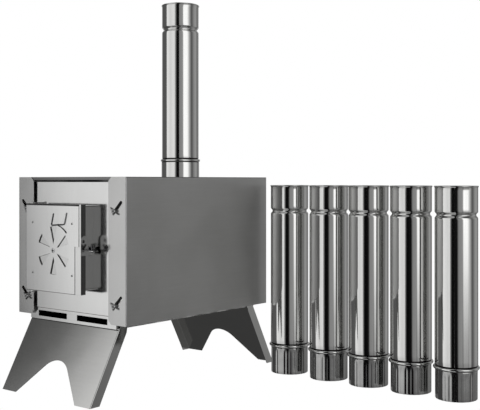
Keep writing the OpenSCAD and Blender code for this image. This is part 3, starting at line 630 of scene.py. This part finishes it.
def wire_tree():
    """Bends a wire of round section along a path, with its corners rounded."""
    found = bpy.data.node_groups.get("Bent wire")
    if found:
        return found
    tree, t, start = geometry_tree("Bent wire", [
        ("Diameter", "Float"), ("Bend radius", "Float"), ("Finish", "Material")])
    path = t.add("GeometryNodeMeshToCurve", {"Mesh": start.outputs["Geometry"]})
    bent = t.add("GeometryNodeFilletCurve", {
        "Curve": path.outputs[0], "Count": 10, "Radius": start.outputs["Bend radius"],
        "Limit Radius": True}, mode="POLY")
    section = t.add("GeometryNodeCurvePrimitiveCircle", {
        "Resolution": 24, "Radius": t.sum("MULTIPLY", start.outputs["Diameter"], 0.5)})
    wire = t.add("GeometryNodeCurveToMesh", {
        "Curve": bent.outputs[0], "Profile Curve": section.outputs[0], "Fill Caps": True})
    close_tree(t, wire.outputs[0], start.outputs["Finish"])
    return tree


def bent_wire(name, points, diameter, bend, finish_name):
    path = bpy.data.meshes.new(name + "_path")
    path.from_pydata([tuple(p) for p in points], [(i, i + 1) for i in range(len(points) - 1)], [])
    values = {"Diameter": diameter, "Bend radius": bend, "Finish": finish(finish_name)}
    mesh = run_tree(wire_tree(), path, values, name)
    return smooth_below(mesh, 50)


# ---------------------------------------------------------------- pieces


def flue_mesh(name, turn):
    """A flue section standing on height 0: pleated end, rolled bead, tube, groove and rolled rim."""
    f = settings("flue")
    height = high("loose_section_1").z - low("loose_section_1").z
    r, wall, bead = f.radius, f.wall, f.bead
    groove = height - f.socket
    crest = r - 0.9 * MM
    outer = [(crest - 0.35 * MM, 0)]
    outer += [(crest, z * MM) for z in (1, 6, 12, 18, 24, 30, 36, 40, 43, 46, 49, 52, 54, 55.5)]
    outer += [(crest - 0.4 * MM, f.spigot - bead - 0.4 * MM)]
    outer += bow((r, f.spigot), bead, -90, 90, 16)
    outer += [(r - 0.9 * MM, f.spigot + bead + 0.5 * MM), (r - 0.7 * MM, f.spigot + bead + 1.0 * MM),
              (r - 0.1 * MM, f.spigot + bead + 1.8 * MM), (r, f.spigot + bead + 2.4 * MM)]
    outer += [(r, f.spigot + bead + (groove - f.spigot - bead - 9 * MM) * i / 24) for i in range(1, 25)]
    half = 6.5 * MM
    outer += [(r - f.groove * (0.5 + 0.5 * math.cos(math.pi * (i - 8) / 8)), groove + half * (i - 8) / 8)
              for i in range(1, 16)]
    outer += [(r, groove + half + (height - 4 * MM - groove - half) * i / 8) for i in range(0, 9)]
    curl = 1.35 * MM
    outer += bow((r - 0.1 * MM, height - curl), curl, -60, 90, 8)
    inner = [(x - wall, z) for x, z in reversed(outer[:-9]) if z > 3 * MM] + [(crest - 2 * wall, 0)]
    wall_line = outer + [(r - wall, height - 0.4 * MM)] + inner
    mesh = lathe(name + "_tube", wall_line, 10 * f.pleats)
    mesh = run_tree(pleat_tree(), mesh, {
        "Pleats": float(f.pleats), "Depth": f.pleat_depth, "Full below": 46 * MM, "Gone above": 55 * MM,
        "End finish": finish("pleated end"), "Finish": finish("flue tube")}, name)
    mesh.transform(Matrix.Rotation(math.radians(turn), 4, "Z"))
    return smooth_below(mesh, 60)


def collar_mesh():
    """Collar with its foot flange, and a rounded root between them."""
    box_low, box_high = low("flue_collar"), high("flue_collar")
    foot_r = (box_high.x - box_low.x) / 2
    r, tall, t = settings("flue").radius + 0.2 * MM, box_high.z - box_low.z, 1 * MM
    outline = [(r, 0.4 * MM), (r + 0.4 * MM, 0), (foot_r - 0.3 * MM, 0), (foot_r, 0.4 * MM),
               (foot_r - 0.3 * MM, t)]
    outline += bow((r + t + 0.8 * MM, t + 0.8 * MM), 0.8 * MM, 270, 180, 5)
    outline += [(r + t, tall * i / 8) for i in range(1, 8)] + bow((r + t / 2, tall - t / 2), t / 2, 0, 180, 8)
    outline += [(r, tall * i / 8) for i in range(7, 0, -1)]
    mesh = lathe("flue_collar_turned", outline, 192)
    spot = middle("flue_collar")
    mesh.transform(Matrix.Translation((spot.x, spot.y, box_low.z)))
    return smooth_below(mesh, 50)


def wing_nut_mesh(stud_r):
    """Cast wing nut along +Z with its seat at height 0: a tapered hub and two flared ears."""
    h = settings("hardware")
    bore, hub = stud_r + 0.06 * MM, h.stud / 2 + 1.8 * MM
    tall = 5.6 * MM
    line = [(bore, 0.4 * MM), (bore + 0.4 * MM, 0), (hub - 0.3 * MM, 0), (hub, 0.4 * MM),
            (hub - 0.2 * MM, tall - 0.7 * MM), (hub - 0.8 * MM, tall), (bore + 0.3 * MM, tall),
            (bore, tall - 0.3 * MM)]
    parts = [(lathe("nut_hub", line, 40), Matrix.Identity(4))]
    tip_r = 2.2 * MM
    tip = (h.ear_reach - tip_r - 0.05 * MM, h.ear_rise - tip_r - 0.05 * MM)
    ear = [(bore + 0.5 * MM, 0.8 * MM), (hub - 0.4 * MM, 0.8 * MM), (hub + 1.0 * MM, 2.0 * MM)]
    ear += bow(tip, tip_r, -40, 150, 14)
    ear += [(hub - 0.7 * MM, tall - 0.5 * MM), (bore + 0.5 * MM, tall - 0.8 * MM)]
    for turn in (0, math.pi):
        parts.append((slab("nut_ear", ear, 1.6 * MM, 0.45 * MM, 3), Matrix.Rotation(turn, 4, "Z")))
    return smooth_below(joined("wing_nut", *parts), 40)


def stud_mesh(reach, low_end, high_end):
    """Stud along +Z from its head: head, spacer between its two ends, threaded shank with a bevelled end."""
    h = settings("hardware")
    r = h.stud / 2
    head = r + 1.6 * MM
    core = r - 0.32 * MM
    line = [(0, 0), (head - 0.5 * MM, 0), (head, 0.5 * MM), (head, 1.4 * MM), (core, 1.4 * MM),
            (core, low_end), (head - 0.2 * MM, low_end), (head, low_end + 0.2 * MM),
            (head, high_end - 0.2 * MM), (head - 0.2 * MM, high_end), (core, high_end),
            (core, reach - 0.7 * MM), (core - 0.7 * MM, reach), (0, reach)]
    base = lathe("stud_core", line, 40, closed=False)
    return run_tree(thread_tree(), base, {
        "Radius": core, "Length": reach - high_end - 1.3 * MM, "Pitch": h.pitch,
        "Start": high_end + 0.4 * MM, "Finish": finish("fastener")}, "threaded_stud")


def rivet_mesh(shank, length, head, head_h):
    """Rivet along +Z from 0: the shank between two domed heads."""
    dome = [(head * math.sin(math.radians(a)), -head_h * math.cos(math.radians(a))) for a in range(0, 91, 10)]
    line = dome + [(shank, 0), (shank, length)]
    line += [(head, length)]
    line += [(head * math.cos(math.radians(a)), length + head_h * math.sin(math.radians(a)))
             for a in range(10, 91, 10)]
    return smooth_below(lathe("domed_rivet", line, 40, closed=False), 50)


# ---------------------------------------------------------------- operators


class STOVE_OT_studio(bpy.types.Operator):
    """Sets up the floor, the studio walls that the steel reflects, the soft lamp and the camera"""

    bl_idname = "stove.studio"
    bl_label = "Studio"

    def execute(self, context):
        s = settings("studio")
        scene = context.scene
        scene.view_settings.view_transform = "Standard"
        self.floor(s)
        self.walls(s)
        self.card()
        lamp = bpy.data.lights.new("soft_lamp", "AREA")
        lamp.shape, lamp.size, lamp.energy = "SQUARE", LAMP_SIZE, s.lamp_power
        holder = put_in_scene("soft_lamp", lamp)
        holder.location = LAMP_PLACE
        holder.rotation_euler = (LAMP_AIM - holder.location).to_track_quat("-Z", "Y").to_euler()
        holder.visible_glossy = False
        data = bpy.data.cameras.new("photo_camera")
        data.sensor_width, data.lens = 36.0, s.lens
        data.shift_x, data.shift_y = (pixels / PICTURE_WIDTH for pixels in PICTURE_SHIFT)
        data.clip_start, data.clip_end = 0.05, 60.0
        camera = put_in_scene("photo_camera", data)
        camera.location = CAMERA_PLACE
        camera.rotation_euler = CAMERA_LOOKS.to_track_quat("-Z", "Y").to_euler()
        scene.camera = camera
        return {"FINISHED"}

    def floor(self, s):
        half = s.floor_size / 2
        mesh = bpy.data.meshes.new("pale_floor")
        corners = [(x * half, y * half, 0) for x, y in ((-1, -1), (1, -1), (1, 1), (-1, 1))]
        mesh.from_pydata(corners, [], [(0, 1, 2, 3)])
        mesh.transform(Matrix.Translation((0, 0, -FLOOR_DROP)))
        floor = put_in_scene("pale_floor", mesh)
        floor.visible_glossy = False
        material = bpy.data.materials.new("pale_floor_paint")
        t = shader_tree(material)
        seen = t.add("ShaderNodeLightPath").outputs["Is Camera Ray"]
        plain = t.add("ShaderNodeBsdfDiffuse", {"Color": (*s.floor_colour, 1)})
        glow = t.add("ShaderNodeEmission", {"Color": (1, 1, 1, 1), "Strength": 1.0})
        both = t.add("ShaderNodeMixShader", {0: seen, 1: plain.outputs[0], 2: glow.outputs[0]})
        t.add("ShaderNodeOutputMaterial", {"Surface": both.outputs[0]})
        mesh.materials.append(material)

    def card(self):
        """A black card beside the camera, which only the steel's reflections show."""
        left, right = CARD_SIDES
        bottom, top = CARD_HEIGHTS
        mesh = bpy.data.meshes.new("black_card")
        corners = [CAMERA_LOOKS * -CARD_AWAY + CAMERA_RIGHT * x + Vector((0, 0, z))
                   for x, z in ((left, bottom), (right, bottom), (right, top), (left, top))]
        mesh.from_pydata([tuple(c) for c in corners], [], [(0, 1, 2, 3)])
        card = put_in_scene("black_card", mesh)
        for sense in ("camera", "diffuse", "shadow", "transmission", "volume_scatter"):
            setattr(card, "visible_" + sense, False)
        material = bpy.data.materials.new("black_card_paint")
        t = shader_tree(material)
        place = t.add("ShaderNodeTexCoord").outputs["Object"]
        across = t.add("ShaderNodeVectorMath", {0: place, 1: tuple(CAMERA_RIGHT)},
                       operation="DOT_PRODUCT").outputs["Value"]
        edge = t.smoothed(across, left, CARD_FADE_END, CARD_EDGE_LIGHT, DARK_WALL)
        glow = t.add("ShaderNodeEmission", {"Color": (1, 1, 1, 1), "Strength": edge})
        t.add("ShaderNodeOutputMaterial", {"Surface": glow.outputs[0]})
        mesh.materials.append(material)

    def walls(self, s):
        """White background for the camera, and light and dark walls for what the steel reflects."""
        world = bpy.data.worlds.new("studio_walls")
        bpy.context.scene.world = world
        world.use_nodes = True
        world.node_tree.nodes.clear()
        t = Sheet(world.node_tree)
        way = t.add("ShaderNodeTexCoord").outputs["Generated"]
        split = t.add("ShaderNodeSeparateXYZ", {0: way})
        turn = t.sum("ARCTAN2", split.outputs[0], t.sum("MULTIPLY", split.outputs[1], -1.0))
        rise = t.sum("ARCSINE", split.outputs[2])
        slanted = t.sum("MULTIPLY_ADD", rise, WALL_SLANT, turn)
        behind = (180 - CAMERA_TURN) / 360 + 1
        share = t.sum("FRACT", t.sum("MULTIPLY_ADD", slanted, 1 / (2 * math.pi), behind))

        def round_it(stops):
            return [((degrees + 180) / 360, light) for degrees, light in stops]

        wall = t.ramp(share, round_it(WALLS), False)
        above = t.smoothed(rise, math.radians(-12), math.radians(-2), 0.3, 1.0)
        right_wall = t.ramp(share, round_it(RIGHT_WALL))
        dimmed = t.sum("SUBTRACT", 1.0, t.sum("MULTIPLY", right_wall, t.sum("SUBTRACT", 1.0, above)))
        wall = t.sum("MULTIPLY", wall, dimmed)
        height = t.sum("MULTIPLY_ADD", rise, 1 / math.pi, 0.5)
        level = t.ramp(height, LEVELS)
        lit = t.sum("MULTIPLY", t.sum("MULTIPLY", wall, level), s.brightness)
        seen = t.add("ShaderNodeLightPath").outputs["Is Camera Ray"]
        dark = t.add("ShaderNodeBackground", {"Color": lit, "Strength": 1.0})
        white = t.add("ShaderNodeBackground", {"Color": (1, 1, 1, 1), "Strength": 1.0})
        both = t.add("ShaderNodeMixShader", {0: seen, 1: dark.outputs[0], 2: white.outputs[0]})
        t.add("ShaderNodeOutputWorld", {"Surface": both.outputs[0]})


class STOVE_OT_body(bpy.types.Operator):
    """Makes the side panels, the top panel and the end plates from brushed sheet"""

    bl_idname = "stove.body"
    bl_label = "Body sheets"

    def execute(self, context):
        for node in ("side_panel_left", "side_panel_right"):
            # The side panels' flanges take a darker colour as painted shade
            rounded_sheet(node, "side sheet", "stove", forward_tone_for_painted_shade="shaded flange sheet")
        # The top panel's front lip takes a dark colour as painted shade
        rounded_sheet("top_panel", "top sheet", "stove", forward_tone_for_painted_shade="shaded lip and weld sheet")
        for node in ("front_plate", "rear_plate"):
            rounded_sheet(node, "plate sheet", "stove")
        paint_node("floor_rails", "tray sheet")
        return {"FINISHED"}


class STOVE_OT_tray(bpy.types.Operator):
    """Makes the ash tray with its rivets, and gives the grate its dull sheet"""

    bl_idname = "stove.tray"
    bl_label = "Ash tray and grate"

    def execute(self, context):
        rounded_sheet("ash_tray", "tray sheet", "stove")
        paint_node("grate", "grate sheet")
        lo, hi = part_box("tray_rivets")
        head = 3.2 * MM
        places = []
        for x in (lo.x + head, hi.x - head):
            for i in range(4):
                y = lo.y + head + (hi.y - lo.y - 2 * head) * i / 3
                places.append((Vector((x, y, lo.z + 0.9 * MM)), (0, 0, 0)))
        one = rivet_mesh(1.6 * MM, 2 * MM, head, 0.9 * MM)
        mesh = repeated("tray_rivets_domed", one, places, "fastener")
        add_piece("tray_rivets_domed", mesh, "fastener", "stove", ("tray_rivets",))
        return {"FINISHED"}


class STOVE_OT_door(bpy.types.Operator):
    """Makes the door frame, the lid with its face plate, and the hinge"""

    bl_idname = "stove.door"
    bl_label = "Door and hinge"

    def execute(self, context):
        rounded_sheet("door_frame", "plate sheet", "stove")
        # The lid's sides take a dark colour as painted shade; its forward faces keep the door sheet
        rounded_sheet("door_lid", "shaded rim sheet", "door", forward_tone_for_painted_shade="door sheet")
        rounded_sheet("door_face_plate", "face sheet", "door")
        self.weld_marks()
        rounded_sheet("hinge_fixed_leaf", "plate sheet", "stove", 0.15 * MM)
        rounded_sheet("hinge_door_leaf", "plate sheet", "door", 0.15 * MM)
        lo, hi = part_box("hinge_pin")
        r, head, tall = 1.6 * MM, 2.6 * MM, hi.z - lo.z
        line = [(0, 0)] + bow((head - 0.4 * MM, 0.4 * MM), 0.4 * MM, 270, 360, 4)
        line += bow((head - 0.3 * MM, 0.7 * MM), 0.3 * MM, 0, 90, 4) + [(r, 1.0 * MM), (r, tall - 0.6 * MM)]
        line += bow((r - 0.6 * MM, tall - 0.6 * MM), 0.6 * MM, 0, 90, 5) + [(0, tall)]
        pin = smooth_below(lathe("hinge_pin_turned", line, 48, closed=False), 50)
        pin.transform(Matrix.Translation(((lo.x + hi.x) / 2, (lo.y + hi.y) / 2, lo.z)))
        add_piece("hinge_pin_turned", pin, "wire", "stove", ("hinge_pin",))
        return {"FINISHED"}

    def weld_marks(self):
        """Four shallow marks of spot welds on the face plate, placed from its middle."""
        centre, front = middle("door_face_plate"), low("door_face_plate").y
        across, below, above = 59, -51, 49
        places = [(Vector((centre.x + x * MM, front, centre.z + z * MM)), (math.pi / 2, 0, 0))
                  for x in (-across, across) for z in (below, above)]
        lens = [(0, 0), (1.8 * MM, 0), (1.4 * MM, 0.12 * MM), (0.7 * MM, 0.2 * MM), (0, 0.22 * MM)]
        mark = lathe("weld_mark", lens, 32, closed=False)
        # The marks take the dark colour of the top panel's front lip, which there is painted shade
        mesh = repeated("weld_marks", smooth_below(mark, 60), places, "shaded lip and weld sheet")
        add_piece("weld_marks", mesh, "shaded lip and weld sheet", "door")


class STOVE_OT_damper(bpy.types.Operator):
    """Makes the air damper: its disc, the bent wire handle and the hollow rivet that it turns on"""

    bl_idname = "stove.damper"
    bl_label = "Air damper"

    def execute(self, context):
        rounded_sheet("damper_disc", "door sheet", "damper")
        h = settings("hardware")
        lo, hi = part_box("damper_handle")
        disc = middle("damper_disc")
        angle, arc_r, up = math.radians(74), 52.6 * MM, 24 * MM
        out = hi.y - lo.y - h.handle_wire / 2 - 0.02 * MM
        way = Vector((math.cos(angle), 0, math.sin(angle)))
        start = Vector((disc.x, hi.y, disc.z)) + way * arc_r
        corner = start + Vector((0, -out, 0))
        end = corner + way * (up - 0.1 * MM)
        mesh = bent_wire("damper_handle_bent", [start, corner, end], h.handle_wire, h.handle_wire, "wire")
        add_piece("damper_handle_bent", mesh, "wire", "damper", ("damper_handle",))
        lo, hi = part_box("damper_rivet")
        r, head, hollow, tall, head_h = 3.0 * MM, 4.8 * MM, 1.8 * MM, hi.y - lo.y, 0.9 * MM
        rim = head - 0.1 * MM
        line = [(hollow, 2 * head_h), (hollow, 0.5 * MM), (hollow + 0.5 * MM, 0), (head - 0.9 * MM, 0.1 * MM),
                (rim, 0.55 * MM), (rim, head_h), (r, head_h), (r, tall - head_h), (rim, tall - head_h),
                (rim, tall - 0.4 * MM), (head - 0.7 * MM, tall), (0, tall), (0, 2 * head_h)]
        rivet = smooth_below(lathe("damper_rivet_turned", line, 48, closed=False), 40)
        spot = middle("damper_rivet")
        place = Matrix.Translation((spot.x, lo.y, spot.z))
        rivet.transform(place @ Matrix.Rotation(math.radians(-90), 4, "X"))
        add_piece("damper_rivet_turned", rivet, "fastener", "door", ("damper_rivet",))
        return {"FINISHED"}


class STOVE_OT_latch(bpy.types.Operator):
    """Makes the latch: bracket, rivet, bolt, lever with its finger ring, and wing nut"""

    bl_idname = "stove.latch"
    bl_label = "Latch"

    def execute(self, context):
        rounded_sheet("latch_bracket", "door sheet", "door", 0.2 * MM)
        rounded_sheet("latch_rivet", "dark fastener", "door", 0.1 * MM)
        rounded_sheet("latch_bolt", "dark fastener", "door", 0.25 * MM)
        rounded_sheet("latch_lever", "wire", "latch_lever", 0.2 * MM)
        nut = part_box("latch_wing_nut")
        spot = middle("latch_wing_nut")
        turn = math.radians(settings("hardware").latch_nut_turn)
        place = [(Vector((spot.x, spot.y, nut[0].z)), (0, 0, turn))]
        mesh = repeated("latch_wing_nut_cast", wing_nut_mesh(2 * MM), place, "dark fastener")
        add_piece("latch_wing_nut_cast", mesh, "dark fastener", "door", ("latch_wing_nut",))
        return {"FINISHED"}


class STOVE_OT_fasteners(bpy.types.Operator):
    """Sets the threaded studs, their wing nuts and the leg pivots in place"""

    bl_idname = "stove.fasteners"
    bl_label = "Studs, wing nuts and pivots"

    def execute(self, context):
        h = settings("hardware")
        for end, turn in (("front", 90), ("rear", -90)):
            lo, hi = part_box(end + "_studs")
            head = h.stud / 2 + 1.6 * MM
            reach = hi.y - lo.y
            sides = (lo.x + head, hi.x - head)
            heights = (lo.z + head, hi.z - head)
            seat = hi.y if end == "front" else lo.y
            stud = stud_mesh(reach, 2.4 * MM, 6.6 * MM)
            places = [(Vector((x, seat, z)), (math.radians(turn), 0, 0)) for x in sides for z in heights]
            mesh = smooth_below(repeated(end + "_studs_threaded", stud, places, "fastener"), 40)
            add_piece(end + "_studs_threaded", mesh, "fastener", "stove", (end + "_studs",))
            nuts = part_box(end + "_wing_nuts")
            seat = nuts[1].y if end == "front" else nuts[0].y
            lean = -math.radians(h.nut_turn)
            places = [(Vector((x, seat, z)), (math.radians(turn), lean, 0)) for x in sides for z in heights]
            mesh = repeated(end + "_wing_nuts_cast", wing_nut_mesh(h.stud / 2), places, "fastener")
            add_piece(end + "_wing_nuts_cast", mesh, "fastener", "stove",
                      (end + "_wing_nuts",))
            self.pivots(end)
        return {"FINISHED"}

    def pivots(self, end):
        node = end + "_leg_pivots"
        lo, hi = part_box(node)
        r, head, head_h = 2.5 * MM, 4.6 * MM, 1.3 * MM
        wall, shoulder = 1 * MM, 3 * MM
        span = (1.0 + 2.3 + 1.2 + 0.3) * MM  # the tray's wall, the gap, the leg's sheet and its play
        line = [(0, -head_h), (head - 0.6 * MM, -head_h), (head, -head_h + 0.5 * MM), (head, 0), (r, 0),
                (r, wall), (head, wall), (head, shoulder), (r, shoulder), (r, span), (head, span),
                (head, span + 0.5 * MM)]
        line += bow((head - 0.8 * MM, span + 0.5 * MM), 0.8 * MM, 0, 90, 4) + [(0, span + head_h)]
        one = smooth_below(lathe("pivot_turned", line, 40, closed=False), 40)
        y, z = (lo.y + hi.y) / 2, (lo.z + hi.z) / 2
        places = [(Vector((hi.x - head_h - span, y, z)), (0, math.radians(90), 0)),
                  (Vector((lo.x + head_h + span, y, z)), (0, math.radians(-90), 0))]
        mesh = repeated(node + "_turned", one, places, "fastener")
        add_piece(node + "_turned", mesh, "fastener", "stove", (node,))


class STOVE_OT_legs(bpy.types.Operator):
    """Makes the two folding legs from bent sheet"""

    bl_idname = "stove.legs"
    bl_label = "Legs"

    def execute(self, context):
        for node in ("front_leg", "rear_leg"):
            rounded_sheet(node, "leg sheet", node, 0.25 * MM, 22)
        return {"FINISHED"}


class STOVE_OT_flue(bpy.types.Operator):
    """Makes the collar, the mounted flue section and the loose sections"""

    bl_idname = "stove.flue"
    bl_label = "Flue"

    def execute(self, context):
        add_piece("flue_collar_turned", collar_mesh(), "flue tube", "stove",
                  ("flue_collar",))
        sections = [("flue_section", "mounted_flue")]
        sections += [("loose_section_%d" % i, "loose_flue_%d" % i) for i in range(1, 6)]
        for count, (node, body) in enumerate(sections):
            mesh = flue_mesh(node + "_tube", 7.5 * count)
            spot = middle(node)
            mesh.transform(Matrix.Translation((spot.x, spot.y, low(node).z)))
            add_piece(node + "_tube", mesh, None, body, (node,))
        return {"FINISHED"}


STEPS = (STOVE_OT_studio, STOVE_OT_body, STOVE_OT_tray, STOVE_OT_door, STOVE_OT_damper, STOVE_OT_latch,
         STOVE_OT_fasteners, STOVE_OT_legs, STOVE_OT_flue)


class STOVE_PT_panel(bpy.types.Panel):
    bl_idname = "STOVE_PT_panel"
    bl_label = "Tent Wood Stove"
    bl_space_type = "VIEW_3D"
    bl_region_type = "UI"
    bl_category = "Stove"

    def draw(self, context):
        for group in GROUPS:
            box = self.layout.box()
            box.label(text=group.capitalize())
            held = settings(group)
            for name in held.__annotations__:
                box.prop(held, name)
        for step in STEPS:
            self.layout.operator(step.bl_idname)


def register():
    for kind in (*GROUPS.values(), *STEPS, STOVE_PT_panel):
        bpy.utils.register_class(kind)
    for group, kind in GROUPS.items():
        setattr(bpy.types.Scene, "stove_" + group, bpy.props.PointerProperty(type=kind))


def unregister():
    for group in GROUPS:
        delattr(bpy.types.Scene, "stove_" + group)
    for kind in reversed((*GROUPS.values(), *STEPS, STOVE_PT_panel)):
        bpy.utils.unregister_class(kind)


def main():
    register()
    bpy.ops.stove.studio()
    bpy.ops.stove.body()
    bpy.ops.stove.tray()
    bpy.ops.stove.door()
    bpy.ops.stove.damper()
    bpy.ops.stove.latch()
    bpy.ops.stove.fasteners()
    bpy.ops.stove.legs()
    bpy.ops.stove.flue()


if __name__ == "__main__":
    main()
